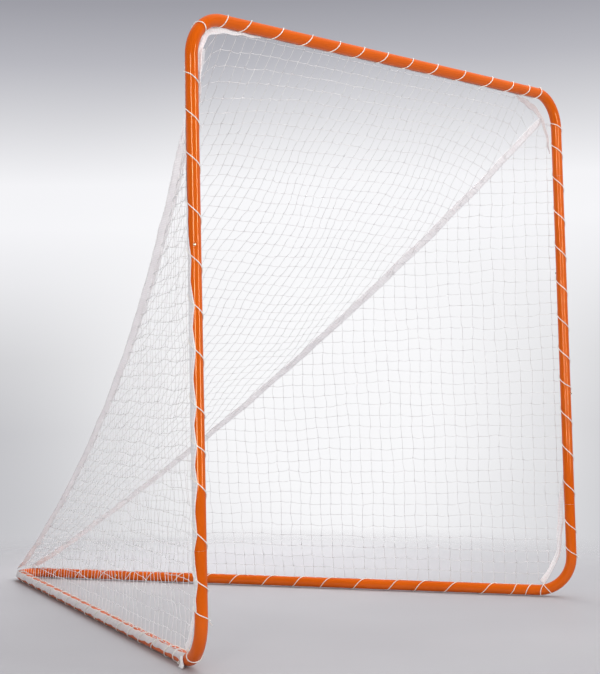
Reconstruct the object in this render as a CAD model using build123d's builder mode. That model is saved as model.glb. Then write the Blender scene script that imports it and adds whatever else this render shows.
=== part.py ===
from build123d import *
import math
import os

# Free-standing lacrosse goal: a round steel tube frame with a square mouth and
# a V-shaped ground frame, carrying a tent-shaped net of three panels.
# Millimetres. +Z up, mouth faces -Y, nose of the V points to +Y, X across.

# ---------------------------------------------------------------- dimensions
TUBE_R = 19.05            # 1.5 inch tube
WALL = 1.5
HALF_W = 933.5            # post centre lines, half spacing (6 ft clear + tube)
TOP_Z = 1867.0            # crossbar centre line
AXIS_Z = 22.4             # ground bar centre line: tube stands on its lacing
MOUTH_Y = -1044.0         # mouth plane, so that the whole box is centred on Y
V_DEPTH = 2204.7          # mouth plane to where the two ground bars would meet
NOSE_R = 70.0             # centre line radius of the nose bend
TOP_BEND_R = 120.0        # centre line radius of the crossbar bends
LOW_BEND_R = 130.0        # centre line radius of the post-to-ground bends
SEAM_LOW = 341.0          # tube joints in the posts
SEAM_HIGH = 1565.0
SEAM_BACK = 1850.0        # tube joint in each ground bar, from the post line
JOINT_GAP = 0.5           # half the open line left at each tube joint

SLEEVE_R = 17.35          # inner connecting sleeve
SLEEVE_WALL = 1.5
SLEEVE_SHORT = 60.0       # length held in the bent tube
SLEEVE_LOW_TOP = 785.0    # where the lower sleeve ends in the post tube
SLEEVE_HIGH_BOTTOM = 1165.0
BTN_LOW_Z = 750.0         # snap button heights
BTN_HIGH_Z = 1200.0
BTN_BACK = 1885.0         # snap button distance along each ground bar
BTN_STEM_R = 4.8
BTN_FLANGE_R = 6.0
BTN_TIP = 23.2            # button tip from the tube axis at rest
BTN_HOLE_R = 5.1
BTN_DOME_H = 3.8          # height of the button's domed end
BTN_DOME_R = (BTN_STEM_R ** 2 + BTN_DOME_H ** 2) / (2 * BTN_DOME_H)
BTN_DOME_A = math.asin(BTN_STEM_R / BTN_DOME_R)

LACE_R = 1.5              # 3 mm lacing cord
LACE_NEAR = 20.9 / math.cos(math.radians(30))   # route corner, on bare tube
LACE_FAR = 27.5           # route corner, over the hem tape
KNOT_R = 2.4              # knots that end the lacing
LACE_FACE = 11.0          # half rise of a turn across its visible face

TAPE_IN = 19.35           # hem tape folded round the tube
TAPE_OUT = 20.35
SEAM_TAPE_W = 38.0
SEAM_TAPE_T = 1.2
PANEL_T = 4.0             # net panel, knot to knot
PANEL_OFF = 7.9           # side panel stands this far outside the bar line
PANEL_GAP = 19.2          # side panel starts this far behind the post line

os.makedirs("parts", exist_ok=True)

# ------------------------------------------------------------- derived frame
BAR_LEN = math.hypot(HALF_W, V_DEPTH)
GX, GY = HALF_W / BAR_LEN, V_DEPTH / BAR_LEN     # ground bar direction (left)


def deg_vec(az):
    return (math.cos(math.radians(az)), math.sin(math.radians(az)))


def bar_point(side, dist, off=0.0, z=AXIS_Z):
    """Point along a ground bar; off is outward, side is -1 left, +1 right."""
    x = side * (HALF_W - GX * dist + GY * off)
    y = MOUTH_Y + GY * dist + GX * off
    return Vector(x, y, z)


def bar_dir(side):
    return Vector(-side * GX, GY, 0)


def finish(part, label):
    part.part.label = label
    export_step(part.part, "parts/" + label + ".step")


# snap buttons: name, point on the tube axis, outward direction
BUTTONS = {
    "left_upper": (Vector(-HALF_W, MOUTH_Y, BTN_HIGH_Z), deg_vec(227.0), Vector(0, 0, 1)),
    "left_lower": (Vector(-HALF_W, MOUTH_Y, BTN_LOW_Z), deg_vec(70.0), Vector(0, 0, 1)),
    "right_upper": (Vector(HALF_W, MOUTH_Y, BTN_HIGH_Z), deg_vec(110.0), Vector(0, 0, 1)),
    "right_lower": (Vector(HALF_W, MOUTH_Y, BTN_LOW_Z), deg_vec(302.7), Vector(0, 0, 1)),
    "left_back": (bar_point(-1, BTN_BACK), (GY, -GX), bar_dir(-1)),
    "right_back": (bar_point(1, BTN_BACK), (-GY, -GX), bar_dir(1)),
}


def button_plane(key):
    point, d, along = BUTTONS[key]
    return Plane(origin=point, x_dir=along, z_dir=Vector(d[0], d[1], 0))


# ------------------------------------------------------------------ tubes
with BuildPart() as crossbar_tube:
    with BuildLine() as crossbar_path:
        FilletPolyline(
            (-HALF_W, MOUTH_Y, SEAM_HIGH), (-HALF_W, MOUTH_Y, TOP_Z),
            (HALF_W, MOUTH_Y, TOP_Z), (HALF_W, MOUTH_Y, SEAM_HIGH),
            radius=TOP_BEND_R)
    with BuildSketch(Plane(origin=(-HALF_W, MOUTH_Y, SEAM_HIGH), z_dir=(0, 0, 1))):
        Circle(TUBE_R)
        Circle(TUBE_R - WALL, mode=Mode.SUBTRACT)
    sweep(path=crossbar_path.line)
finish(crossbar_tube, "crossbar_tube")

for side, name in ((-1, "left"), (1, "right")):
    # straight post tube between the two joints
    with BuildPart() as post_tube:
        with BuildSketch(Plane(origin=(side * HALF_W, MOUTH_Y, SEAM_LOW + JOINT_GAP), z_dir=(0, 0, 1))):
            Circle(TUBE_R)
            Circle(TUBE_R - WALL, mode=Mode.SUBTRACT)
        extrude(amount=SEAM_HIGH - SEAM_LOW - 2 * JOINT_GAP)
        for key in (name + "_upper", name + "_lower"):
            with BuildSketch(button_plane(key)):
                Circle(BTN_HOLE_R)
            extrude(amount=TUBE_R + 5, mode=Mode.SUBTRACT)
    finish(post_tube, name + "_post_tube")

    # lower corner tube: short leg, bend, and the long ground run
    with BuildPart() as corner_tube:
        with BuildLine() as corner_path:
            FilletPolyline(
                Vector(side * HALF_W, MOUTH_Y, SEAM_LOW),
                bar_point(side, 0), bar_point(side, SEAM_BACK - JOINT_GAP),
                radius=LOW_BEND_R)
        with BuildSketch(Plane(origin=(side * HALF_W, MOUTH_Y, SEAM_LOW), z_dir=(0, 0, -1))):
            Circle(TUBE_R)
            Circle(TUBE_R - WALL, mode=Mode.SUBTRACT)
        sweep(path=corner_path.line)
    finish(corner_tube, name + "_ground_tube")

with BuildPart() as nose_tube:
    with BuildLine() as nose_path:
        FilletPolyline(
            bar_point(-1, SEAM_BACK + JOINT_GAP), Vector(0, MOUTH_Y + V_DEPTH, AXIS_Z),
            bar_point(1, SEAM_BACK + JOINT_GAP), radius=NOSE_R)
    with BuildSketch(Plane(origin=bar_point(-1, SEAM_BACK + JOINT_GAP), z_dir=bar_dir(-1))):
        Circle(TUBE_R)
        Circle(TUBE_R - WALL, mode=Mode.SUBTRACT)
    sweep(path=nose_path.line)
    for key in ("left_back", "right_back"):
        with BuildSketch(button_plane(key)):
            Circle(BTN_HOLE_R)
        extrude(amount=TUBE_R + 5, mode=Mode.SUBTRACT)
finish(nose_tube, "nose_tube")

# ------------------------------------------------- sleeves inside the joints
SLEEVES = {
    "left_upper": (Vector(-HALF_W, MOUTH_Y, SLEEVE_HIGH_BOTTOM), Vector(0, 0, 1), SEAM_HIGH + SLEEVE_SHORT - SLEEVE_HIGH_BOTTOM),
    "right_upper": (Vector(HALF_W, MOUTH_Y, SLEEVE_HIGH_BOTTOM), Vector(0, 0, 1), SEAM_HIGH + SLEEVE_SHORT - SLEEVE_HIGH_BOTTOM),
    "left_lower": (Vector(-HALF_W, MOUTH_Y, SEAM_LOW - SLEEVE_SHORT), Vector(0, 0, 1), SLEEVE_LOW_TOP - SEAM_LOW + SLEEVE_SHORT),
    "right_lower": (Vector(HALF_W, MOUTH_Y, SEAM_LOW - SLEEVE_SHORT), Vector(0, 0, 1), SLEEVE_LOW_TOP - SEAM_LOW + SLEEVE_SHORT),
    "left_back": (bar_point(-1, SEAM_BACK - SLEEVE_SHORT), bar_dir(-1), 2.25 * SLEEVE_SHORT),
    "right_back": (bar_point(1, SEAM_BACK - SLEEVE_SHORT), bar_dir(1), 2.25 * SLEEVE_SHORT),
}
for key, (start, along, length) in SLEEVES.items():
    with BuildPart() as sleeve:
        with BuildSketch(Plane(origin=start, z_dir=along)):
            Circle(SLEEVE_R)
            Circle(SLEEVE_R - SLEEVE_WALL, mode=Mode.SUBTRACT)
        extrude(amount=length)
        with BuildSketch(button_plane(key)):
            Circle(BTN_HOLE_R)
        extrude(amount=SLEEVE_R + 5, mode=Mode.SUBTRACT)
    finish(sleeve, key + "_joint_sleeve")

# ----------------------------------------------- snap buttons and leaf springs
for key in BUTTONS:
    plane = button_plane(key)
    with BuildPart() as snap_button:
        # profile in the plane of the button axis, revolved about that axis
        profile_plane = Plane(origin=plane.origin, x_dir=plane.x_dir, z_dir=-plane.y_dir)
        with BuildSketch(profile_plane):
            with BuildLine():
                Polyline((0, 12.6), (BTN_FLANGE_R, 12.6), (BTN_FLANGE_R, 14.0),
                         (BTN_STEM_R, 14.0), (BTN_STEM_R, BTN_TIP - BTN_DOME_H))
                ThreePointArc((BTN_STEM_R, BTN_TIP - BTN_DOME_H),
                              (BTN_DOME_R * math.sin(BTN_DOME_A / 2),
                               BTN_TIP - BTN_DOME_R * (1 - math.cos(BTN_DOME_A / 2))), (0, BTN_TIP))
                Line((0, BTN_TIP), (0, 12.6))
            make_face()
        revolve(axis=Axis(plane.origin, plane.z_dir))
    finish(snap_button, key + "_snap_button")

    # V leaf spring lying along the tube, under the button's flange
    run = -1 if key.endswith("upper") else 1
    with BuildPart() as leaf_spring:
        spring_plane = Plane(origin=plane.origin, x_dir=plane.x_dir, z_dir=-plane.y_dir)
        with BuildSketch(spring_plane):
            with BuildLine():
                Polyline((-run * 6.0, 6.9), (run * 5.0, 6.9), (run * 30.0, 2.2),
                         (run * 33.0, 0.0), (run * 30.0, -3.2), (run * 2.0, -14.3),
                         (run * 2.3, -15.05), (run * 30.5, -3.95), (run * 34.0, 0.0),
                         (run * 30.5, 2.95), (run * 5.2, 7.7), (-run * 6.0, 7.7), close=True)
            make_face()
        extrude(amount=3.2, both=True)
    finish(leaf_spring, key + "_leaf_spring")

# ----------------------------------------------------------------- lacing
# Each lacing cord winds round its tube in six-cornered turns: three corners
# close together across the open face, three spread out behind. The corners
# over the hem tape stand further out.


def lace_route(origin, along, up_ref, side_ref, stations, face_deg, tape_deg):
    """Corner points of one cord. Angles are measured in the plane across the
    tube from side_ref (0) towards up_ref (90); the cord turns with +angle."""
    points = []
    lo, hi = tape_deg

    def add(angle, dist):
        a = angle % 360.0
        over = any(lo - 12 <= a + k <= hi + 12 for k in (-360, 0, 360))
        radius = LACE_FAR if over else LACE_NEAR
        c, s = math.cos(math.radians(a)), math.sin(math.radians(a))
        points.append(origin + along * dist + side_ref * (radius * c) + up_ref * (radius * s))

    for i, d in enumerate(stations):
        step = (stations[i + 1] - d) if i + 1 < len(stations) else 60.0
        face = min(LACE_FACE, 0.16 * step)
        prev = (d - stations[i - 1]) if i else 60.0
        face_in = min(LACE_FACE, 0.16 * prev)
        add(face_deg - 60, d - face_in)
        add(face_deg, d)
        add(face_deg + 60, d + face)
        if i + 1 < len(stations):
            back = step - face - min(LACE_FACE, 0.16 * step)
            add(face_deg + 120, d + face + back * 25 / 114)
            add(face_deg + 180, d + face + back * 57 / 114)
            add(face_deg + 240, d + face + back * 89 / 114)
    return points


def corner_radii(points):
    radii = []
    for a, b, c in zip(points, points[1:], points[2:]):
        u, v = b - a, c - b
        turn = u.get_angle(v)
        radii.append(0.45 * min(u.length, v.length) / math.tan(math.radians(turn / 2)))
    return radii


def cord_length(points, radii):
    total = sum((b - a).length for a, b in zip(points, points[1:]))
    for (a, b, c), r in zip(zip(points, points[1:], points[2:]), radii):
        half = math.radians((b - a).get_angle(c - b) / 2)
        total += 2 * r * (half - math.tan(half))
    return total


UP, DOWN = Vector(0, 0, 1), Vector(0, 0, -1)
LEFT_STATIONS = [1688, 1573, 1449, 1302, 1161, 1028, 901, 743, 633, 528, 385, 253, 165]
RIGHT_STATIONS = [1745, 1671, 1541, 1414, 1280, 1147, 1015, 894, 783, 664, 537, 405, 261, 165]
BAR_X = [-800, -711, -572, -442, -311, -197, -81, 51, 185, 341, 503, 639, 747, 800]
GROUND_STATIONS = [165, 213, 318, 461, 584, 686, 828, 966, 1079, 1212, 1355, 1478, 1602, 1733,
                   1826, 1952, 2068, 2180]

POST_TAPE_L = (90.0, 200.0)        # azimuth in plan, degrees from +X
POST_TAPE_R = (-20.0, 90.0)
BAR_TAPE = (-35.0, 65.0)           # from outward horizontal, + is up
CROSS_TAPE = (170.0, 260.0)        # from forward horizontal, + is up

LACES = {
    # going down the post the cord turns from +X towards +Y
    "left_post_lacing": lace_route(
        Vector(-HALF_W, MOUTH_Y, TOP_Z), DOWN, Vector(0, 1, 0), Vector(1, 0, 0),
        [TOP_Z - z for z in LEFT_STATIONS], 221.0, POST_TAPE_L),
    "right_post_lacing": lace_route(
        Vector(HALF_W, MOUTH_Y, TOP_Z), DOWN, Vector(0, 1, 0), Vector(1, 0, 0),
        [TOP_Z - z for z in RIGHT_STATIONS], 219.0, POST_TAPE_R),
    # along the crossbar to +X the cord turns from forward towards up
    "crossbar_lacing": lace_route(
        Vector(0, MOUTH_Y, TOP_Z), Vector(1, 0, 0), UP, Vector(0, -1, 0),
        BAR_X, -19.0, CROSS_TAPE),
    # towards the nose on the left bar: outward, then down
    "left_ground_lacing": lace_route(
        bar_point(-1, 0), bar_dir(-1), DOWN, Vector(-GY, GX, 0),
        GROUND_STATIONS, 180.0, (-65.0, 35.0))[1:],
    # towards the nose on the right bar: outward, then up
    "right_ground_lacing": lace_route(
        bar_point(1, 0), bar_dir(1), UP, Vector(GY, GX, 0),
        GROUND_STATIONS, 180.0, BAR_TAPE)[:-1],
}
for name, points in LACES.items():
    radii = corner_radii(points)
    with BuildPart() as lacing:
        with BuildLine() as lace_path:
            FilletPolyline(*points, radius=radii)
        with BuildSketch(Plane(origin=points[0], z_dir=points[1] - points[0])):
            Circle(LACE_R)
        sweep(path=lace_path.line)
    finish(lacing, name)
    path_length = sum(e.length for e in lace_path.edges())
    expect = math.pi * LACE_R ** 2 * path_length
    print(name, "length %.0f" % cord_length(points, radii), "path %.0f" % path_length,
          "radii %.1f to %.1f" % (min(radii), max(radii)),
          "volume/expected %.4f" % (lacing.part.volume / expect))

# knots that end the lacing, and the ties at the corners, as small ball knots
KNOTS = {
    "post_lacing_knots": [LACES["left_post_lacing"][0], LACES["left_post_lacing"][-1],
                          LACES["right_post_lacing"][0], LACES["right_post_lacing"][-1]],
    "crossbar_lacing_knots": [LACES["crossbar_lacing"][0], LACES["crossbar_lacing"][-1]],
    "ground_lacing_knots": [LACES["left_ground_lacing"][0], LACES["left_ground_lacing"][-1],
                            LACES["right_ground_lacing"][0], LACES["right_ground_lacing"][-1]],
}
for name, places in KNOTS.items():
    with BuildPart() as knots:
        with Locations(*[Location(p) for p in places]):
            Sphere(KNOT_R)
    finish(knots, name)

# -------------------------------------------------------------- hem tapes
def wedge(lo, hi, radius=40.0):
    steps = [lo + (hi - lo) * i / 6 for i in range(7)]
    return [(0, 0)] + [(radius * math.cos(math.radians(a)), radius * math.sin(math.radians(a))) for a in steps]


def hem_tape(label, plane, lo, hi, length):
    with BuildPart() as tape:
        with BuildSketch(plane):
            Circle(TAPE_OUT)
            Circle(TAPE_IN, mode=Mode.SUBTRACT)
            with BuildLine():
                Polyline(*wedge(lo, hi), close=True)
            make_face(mode=Mode.INTERSECT)
        extrude(amount=length)
    finish(tape, label)


hem_tape("left_post_hem_tape", Plane(origin=(-HALF_W, MOUTH_Y, 175), x_dir=(1, 0, 0), z_dir=(0, 0, 1)),
         POST_TAPE_L[0], POST_TAPE_L[1], 1555)
hem_tape("right_post_hem_tape", Plane(origin=(HALF_W, MOUTH_Y, 175), x_dir=(1, 0, 0), z_dir=(0, 0, 1)),
         POST_TAPE_R[0], POST_TAPE_R[1], 1555)
hem_tape("crossbar_hem_tape", Plane(origin=(805, MOUTH_Y, TOP_Z), x_dir=(0, -1, 0), z_dir=(-1, 0, 0)),
         CROSS_TAPE[0], CROSS_TAPE[1], 1610)
hem_tape("left_ground_hem_tape", Plane(origin=bar_point(-1, 2210), x_dir=(-GY, GX, 0), z_dir=-bar_dir(-1)),
         BAR_TAPE[0], BAR_TAPE[1], 2050)
hem_tape("right_ground_hem_tape", Plane(origin=bar_point(1, 160), x_dir=(GY, GX, 0), z_dir=bar_dir(1)),
         BAR_TAPE[0], BAR_TAPE[1], 2050)

# ------------------------------------------------------------- net panels
# The two sloping seams run from behind the top corners to the nose and are
# drawn inward by the tension of the net.
SEAM_TOP = Vector(871.0, MOUTH_Y + 21.0, 1774.0)
SEAM_END = Vector(41.0, MOUTH_Y + 2080.0, 50.0)
SEAM_SAG = Vector(-38.0, -95.0, -60.0)


def seam_point(t, side=1):
    p = SEAM_TOP + (SEAM_END - SEAM_TOP) * t + SEAM_SAG * (4 * t * (1 - t))
    return Vector(side * p.X, p.Y, p.Z)


def seam_at_height(z):
    lo, hi = 0.0, 1.0
    for _ in range(60):
        mid = (lo + hi) / 2
        if seam_point(mid).Z > z:
            lo = mid
        else:
            hi = mid
    return seam_point((lo + hi) / 2)


def seam_at_y(y):
    lo, hi = 0.0, 1.0
    for _ in range(60):
        mid = (lo + hi) / 2
        if seam_point(mid).Y < y:
            lo = mid
        else:
            hi = mid
    return seam_point((lo + hi) / 2)


# side panels: level rows from the post back to the seam
# (height, start behind the post line): the front lower corner cuts across
# the bend of the frame
SIDE_LEVELS = [(AXIS_Z + 19.7, 142.0), (130.0, 64.0), (300.0, 24.0), (520.0, PANEL_GAP),
               (780.0, PANEL_GAP), (1060.0, PANEL_GAP), (1340.0, PANEL_GAP), (1580.0, 21.0),
               (1740.0, 24.0)]
for side, name in ((-1, "left"), (1, "right")):
    with BuildPart() as side_panel:
        for z, gap in SIDE_LEVELS:
            post = Vector(HALF_W - GX * gap + GY * PANEL_OFF,
                          MOUTH_Y + GY * gap + GX * PANEL_OFF, z)
            seam = seam_at_height(max(z, 52.0))
            row = Vector(seam.X - post.X, seam.Y - post.Y, 0)
            normal = Vector(row.Y, -row.X, 0).normalized() * (PANEL_T / 2)
            corners = [post + normal, seam + normal, seam - normal, post - normal]
            flat = [(side * p.X, p.Y) for p in corners]
            if side < 0:
                flat.reverse()
                flat = flat[-1:] + flat[:-1]
            with BuildSketch(Plane.XY.offset(z)):
                with BuildLine():
                    Polyline(*flat, close=True)
                make_face()
        loft(ruled=True)
    finish(side_panel, name + "_net_panel")

# top and back panel: rows parallel to the crossbar, slung between the seams
BACK_START = MOUTH_Y + 23.0
BACK_LEVELS = [BACK_START, MOUTH_Y + 160, MOUTH_Y + 420, MOUTH_Y + 760, MOUTH_Y + 1120, MOUTH_Y + 1480,
               MOUTH_Y + 1800, MOUTH_Y + 2076]
ROW_SAG = 25.0            # extra droop at the middle of the longest free row
with BuildPart() as back_panel:
    for y in BACK_LEVELS:
        s = (y - MOUTH_Y) / V_DEPTH
        xs = [-1.0, -0.92, -0.33, 0.33, 0.92, 1.0]
        tv = PANEL_T / 2 / 0.74
        if y == BACK_START:
            # along the crossbar, with each end folded down behind the bend
            half = SEAM_TOP.X - 4.0
            line = [(half * u, SEAM_TOP.Z + 4.0 if abs(u) == 1.0 else TOP_Z - 2.0 - 3.0 * (1 - u * u))
                    for u in xs]
        else:
            edge = seam_at_y(y)
            half = edge.X - 4.0
            droop = ROW_SAG * 4 * s * (1 - s) * min(1.0, half / 500.0) + 1.0
            lift = {BACK_LEVELS[1]: 80.0, BACK_LEVELS[2]: 18.0}.get(y, 0.0)
            line = [(half * u, edge.Z + lift * (1 - u ** 4) - droop * (1 - u * u)) for u in xs]
        top = [(x, z + tv) for x, z in line]
        bottom = [(x, z - tv) for x, z in reversed(line)]
        with BuildSketch(Plane(origin=(0, y, 0), x_dir=(1, 0, 0), z_dir=(0, -1, 0))):
            with BuildLine():
                Polyline(*top, *bottom, close=True)
            make_face()
    loft(ruled=True)
finish(back_panel, "back_net_panel")

# seam tapes: flat strips over the two seams, standing just outside the panels
for side, name in ((-1, "left"), (1, "right")):
    with BuildPart() as seam_tape:
        for i in range(9):
            t = 0.01 + 0.98 * i / 8
            a, b = seam_point(max(t - 0.01, 0), side), seam_point(min(t + 0.01, 1), side)
            along = (b - a).normalized()
            out = Vector(side * 0.72, 0.45, 0.52)
            out = (out - along * out.dot(along)).normalized()
            width = along.cross(out)
            with BuildSketch(Plane(origin=seam_point(t, side) + out * 6.5, x_dir=width, z_dir=along)):
                Rectangle(SEAM_TAPE_W, SEAM_TAPE_T)
        loft(ruled=True)
    finish(seam_tape, name + "_seam_tape")

# ---------------------------------------------------------------- corner ties
# Short cords that draw the panel corners to the frame bends: one ring of cord
# round the bend or two side by side.


def ring_tie(label, rings):
    with BuildPart() as tie:
        for centre, axis_dir in rings:
            plane = Plane(origin=centre, z_dir=axis_dir)
            with Locations(plane):
                Torus(20.9 + 0.2, LACE_R)
    finish(tie, label)


def bend_point(side, kind, angle):
    """Centre line point and direction on a frame bend, angle from its start."""
    a = math.radians(angle)
    if kind == "top":
        cx, cz = HALF_W - TOP_BEND_R, TOP_Z - TOP_BEND_R
        p = Vector(side * (cx + TOP_BEND_R * math.cos(a)), MOUTH_Y, cz + TOP_BEND_R * math.sin(a))
        d = Vector(-side * math.sin(a), 0, math.cos(a))
        return p, d
    dist = LOW_BEND_R - LOW_BEND_R * math.cos(a)
    p = bar_point(side, dist, 0, AXIS_Z + LOW_BEND_R - LOW_BEND_R * math.sin(a))
    d = bar_dir(side) * math.sin(a) + Vector(0, 0, -math.cos(a))
    return p, d


ring_tie("top_corner_tie", [bend_point(-1, "top", 38)])
ring_tie("bottom_corner_ties", [bend_point(-1, "low", 58), bend_point(1, "low", 73), bend_point(1, "low", 80)])
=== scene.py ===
import bpy, math
import numpy as np
from mathutils import Matrix, Vector


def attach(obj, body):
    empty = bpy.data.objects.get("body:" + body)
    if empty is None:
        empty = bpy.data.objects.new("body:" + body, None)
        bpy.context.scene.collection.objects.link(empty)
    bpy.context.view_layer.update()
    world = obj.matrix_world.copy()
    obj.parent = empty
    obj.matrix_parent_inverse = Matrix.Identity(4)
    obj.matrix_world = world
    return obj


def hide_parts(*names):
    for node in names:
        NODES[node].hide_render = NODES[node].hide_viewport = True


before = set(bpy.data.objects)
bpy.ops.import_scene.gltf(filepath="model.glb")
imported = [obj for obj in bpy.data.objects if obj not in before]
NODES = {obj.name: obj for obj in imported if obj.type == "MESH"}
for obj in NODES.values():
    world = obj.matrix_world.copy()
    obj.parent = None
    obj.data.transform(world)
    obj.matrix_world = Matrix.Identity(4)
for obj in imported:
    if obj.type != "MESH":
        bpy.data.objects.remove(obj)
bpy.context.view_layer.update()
rng = np.random.default_rng(11)

# ------------------------------------------------------------------ dimensions
# metres, the same frame as the CAD: mouth faces -Y, nose of the V at +Y
TUBE_R = 0.01905
HALF_W = 0.9335
TOP_Z = 1.867
AXIS_Z = 0.0224
MOUTH_Y = -1.044
V_DEPTH = 2.2047
NOSE_R = 0.070
TOP_BEND_R = 0.120
LOW_BEND_R = 0.130
BAR_LEN = math.hypot(HALF_W, V_DEPTH)
GX, GY = HALF_W / BAR_LEN, V_DEPTH / BAR_LEN
MESH = 0.042              # net bar, knot to knot
TWINE_R = 0.0008
CORD_R = 0.0015


def V(*a):
    return np.array(a, float)


def unit(v):
    v = np.asarray(v, float)
    return v / np.maximum(np.linalg.norm(v, axis=-1, keepdims=True), 1e-12)


def bar_point(side, dist, off=0.0, z=AXIS_Z):
    return V(side * (HALF_W - GX * dist + GY * off), MOUTH_Y + GY * dist + GX * off, z)


def bar_dir(side):
    return V(-side * GX, GY, 0)


def smooth(x):
    x = np.clip(x, 0, 1)
    return x * x * (3 - 2 * x)


# ------------------------------------------------------------------ materials
def new_mat(name):
    m = bpy.data.materials.new(name)
    m.use_nodes = True
    nt = m.node_tree
    bsdf = next(n for n in nt.nodes if n.type == "BSDF_PRINCIPLED")
    return m, nt, bsdf


def node(nt, kind, **props):
    n = nt.nodes.new(kind)
    for k, v in props.items():
        setattr(n, k, v)
    return n


def noise(nt, vec, scale, detail=2.0, rough=0.5):
    n = node(nt, "ShaderNodeTexNoise")
    n.inputs["Scale"].default_value = scale
    n.inputs["Detail"].default_value = detail
    n.inputs["Roughness"].default_value = rough
    if vec is not None:
        nt.links.new(vec, n.inputs["Vector"])
    return n


def ramp(nt, fac, stops):
    n = node(nt, "ShaderNodeValToRGB")
    els = n.color_ramp.elements
    while len(els) > 1:
        els.remove(els[-1])
    els[0].position, els[0].color = stops[0][0], (*stops[0][1], 1)
    for p, c in stops[1:]:
        e = els.new(p)
        e.color = (*c, 1)
    nt.links.new(fac, n.inputs["Fac"])
    return n


def maprange(nt, val, a, b, c, d):
    n = node(nt, "ShaderNodeMapRange")
    for k, v in zip(("From Min", "From Max", "To Min", "To Max"), (a, b, c, d)):
        n.inputs[k].default_value = v
    nt.links.new(val, n.inputs["Value"])
    return n


def math_node(nt, op, a, b=None):
    n = node(nt, "ShaderNodeMath", operation=op)
    for i, x in enumerate((a, b)):
        if x is None:
            continue
        if isinstance(x, (int, float)):
            n.inputs[i].default_value = x
        else:
            nt.links.new(x, n.inputs[i])
    return n.outputs[0]


def bump(nt, bsdf, height, strength, distance=0.001):
    b = node(nt, "ShaderNodeBump")
    b.inputs["Strength"].default_value = strength
    b.inputs["Distance"].default_value = distance
    nt.links.new(height, b.inputs["Height"])
    nt.links.new(b.outputs["Normal"], bsdf.inputs["Normal"])
    return b


def powder_coat():
    m, nt, s = new_mat("orange_powder_coat")
    tc = node(nt, "ShaderNodeTexCoord")
    obj = tc.outputs["Object"]
    big = noise(nt, obj, 9.0, 3.0)
    col = ramp(nt, big.outputs["Fac"], [(0.30, (0.610, 0.096, 0.0018)), (0.72, (0.665, 0.110, 0.0026))])
    # small rubbed marks where the goal is dragged and stacked
    mp = node(nt, "ShaderNodeMapping")
    mp.inputs["Scale"].default_value = (60, 60, 9)
    nt.links.new(obj, mp.inputs["Vector"])
    rub = noise(nt, mp.outputs["Vector"], 3.0, 5.0, 0.65)
    rubbed = ramp(nt, rub.outputs["Fac"], [(0.70, (0, 0, 0)), (0.80, (1, 1, 1))])
    mix = node(nt, "ShaderNodeMix", data_type="RGBA")
    nt.links.new(math_node(nt, "MULTIPLY", rubbed.outputs["Color"], 0.16), mix.inputs["Factor"])
    nt.links.new(col.outputs["Color"], mix.inputs["A"])
    mix.inputs["B"].default_value = (0.80, 0.24, 0.08, 1)
    nt.links.new(mix.outputs["Result"], s.inputs["Base Color"])
    r = maprange(nt, noise(nt, obj, 35.0, 2.0).outputs["Fac"], 0.3, 0.7, 0.34, 0.42)
    nt.links.new(r.outputs["Result"], s.inputs["Roughness"])
    s.inputs["Specular IOR Level"].default_value = 0.02
    s.inputs["Coat Weight"].default_value = 0.50
    s.inputs["Coat Roughness"].default_value = 0.045
    peel = noise(nt, obj, 420.0, 2.0)
    bump(nt, s, peel.outputs["Fac"], 0.06, 0.0006)
    return m


def bare_metal(name, colour, rough, spangle):
    m, nt, s = new_mat(name)
    tc = node(nt, "ShaderNodeTexCoord")
    v = node(nt, "ShaderNodeTexVoronoi")
    v.inputs["Scale"].default_value = spangle
    nt.links.new(tc.outputs["Object"], v.inputs["Vector"])
    dark = tuple(c * 0.82 for c in colour)
    n = noise(nt, tc.outputs["Object"], spangle * 1.7, 3.0)
    add = math_node(nt, "ADD", v.outputs["Distance"], n.outputs["Fac"])
    c = ramp(nt, math_node(nt, "MULTIPLY", add, 0.6), [(0.25, dark), (0.75, colour)])
    nt.links.new(c.outputs["Color"], s.inputs["Base Color"])
    s.inputs["Metallic"].default_value = 1.0
    r = maprange(nt, n.outputs["Fac"], 0.3, 0.7, rough * 0.8, rough * 1.25)
    nt.links.new(r.outputs["Result"], s.inputs["Roughness"])
    bump(nt, s, n.outputs["Fac"], 0.08, 0.0003)
    return m


def cord_mat(name, base, pitch, braid, rough=0.62):
    """Twine or cord. UV u runs along it in metres, v once round it."""
    m, nt, s = new_mat(name)
    tc = node(nt, "ShaderNodeTexCoord")
    sep = node(nt, "ShaderNodeSeparateXYZ")
    nt.links.new(tc.outputs["UV"], sep.inputs[0])
    u = math_node(nt, "MULTIPLY", sep.outputs["X"], 2 * math.pi / pitch)
    v = math_node(nt, "MULTIPLY", sep.outputs["Y"], 2 * math.pi)
    if braid:
        a = math_node(nt, "SINE", math_node(nt, "ADD", u, math_node(nt, "MULTIPLY", v, 4.0)))
        b = math_node(nt, "SINE", math_node(nt, "SUBTRACT", u, math_node(nt, "MULTIPLY", v, 4.0)))
        h = math_node(nt, "MAXIMUM", a, b)
    else:
        h = math_node(nt, "SINE", math_node(nt, "ADD", u, math_node(nt, "MULTIPLY", v, 3.0)))
    n = noise(nt, tc.outputs["Object"], 16.0, 4.0)
    # painted shade: the grooves between the strands are darkened in colour, using the same height as the bump
    groove_shade = maprange(nt, h, -1, 1, 0.86, 1.0)
    col = ramp(nt, n.outputs["Fac"], [(0.3, tuple(c * 0.93 for c in base)), (0.7, base)])
    mix = node(nt, "ShaderNodeMix", data_type="RGBA", blend_type="MULTIPLY")
    mix.inputs["Factor"].default_value = 1.0
    nt.links.new(col.outputs["Color"], mix.inputs["A"])
    nt.links.new(groove_shade.outputs["Result"], mix.inputs["B"])
    nt.links.new(mix.outputs["Result"], s.inputs["Base Color"])
    s.inputs["Roughness"].default_value = rough
    s.inputs["Sheen Weight"].default_value = 0.25
    s.inputs["Sheen Roughness"].default_value = 0.5
    s.inputs["Specular IOR Level"].default_value = 0.35
    bump(nt, s, h, 0.55, 0.0004)
    return m


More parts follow.
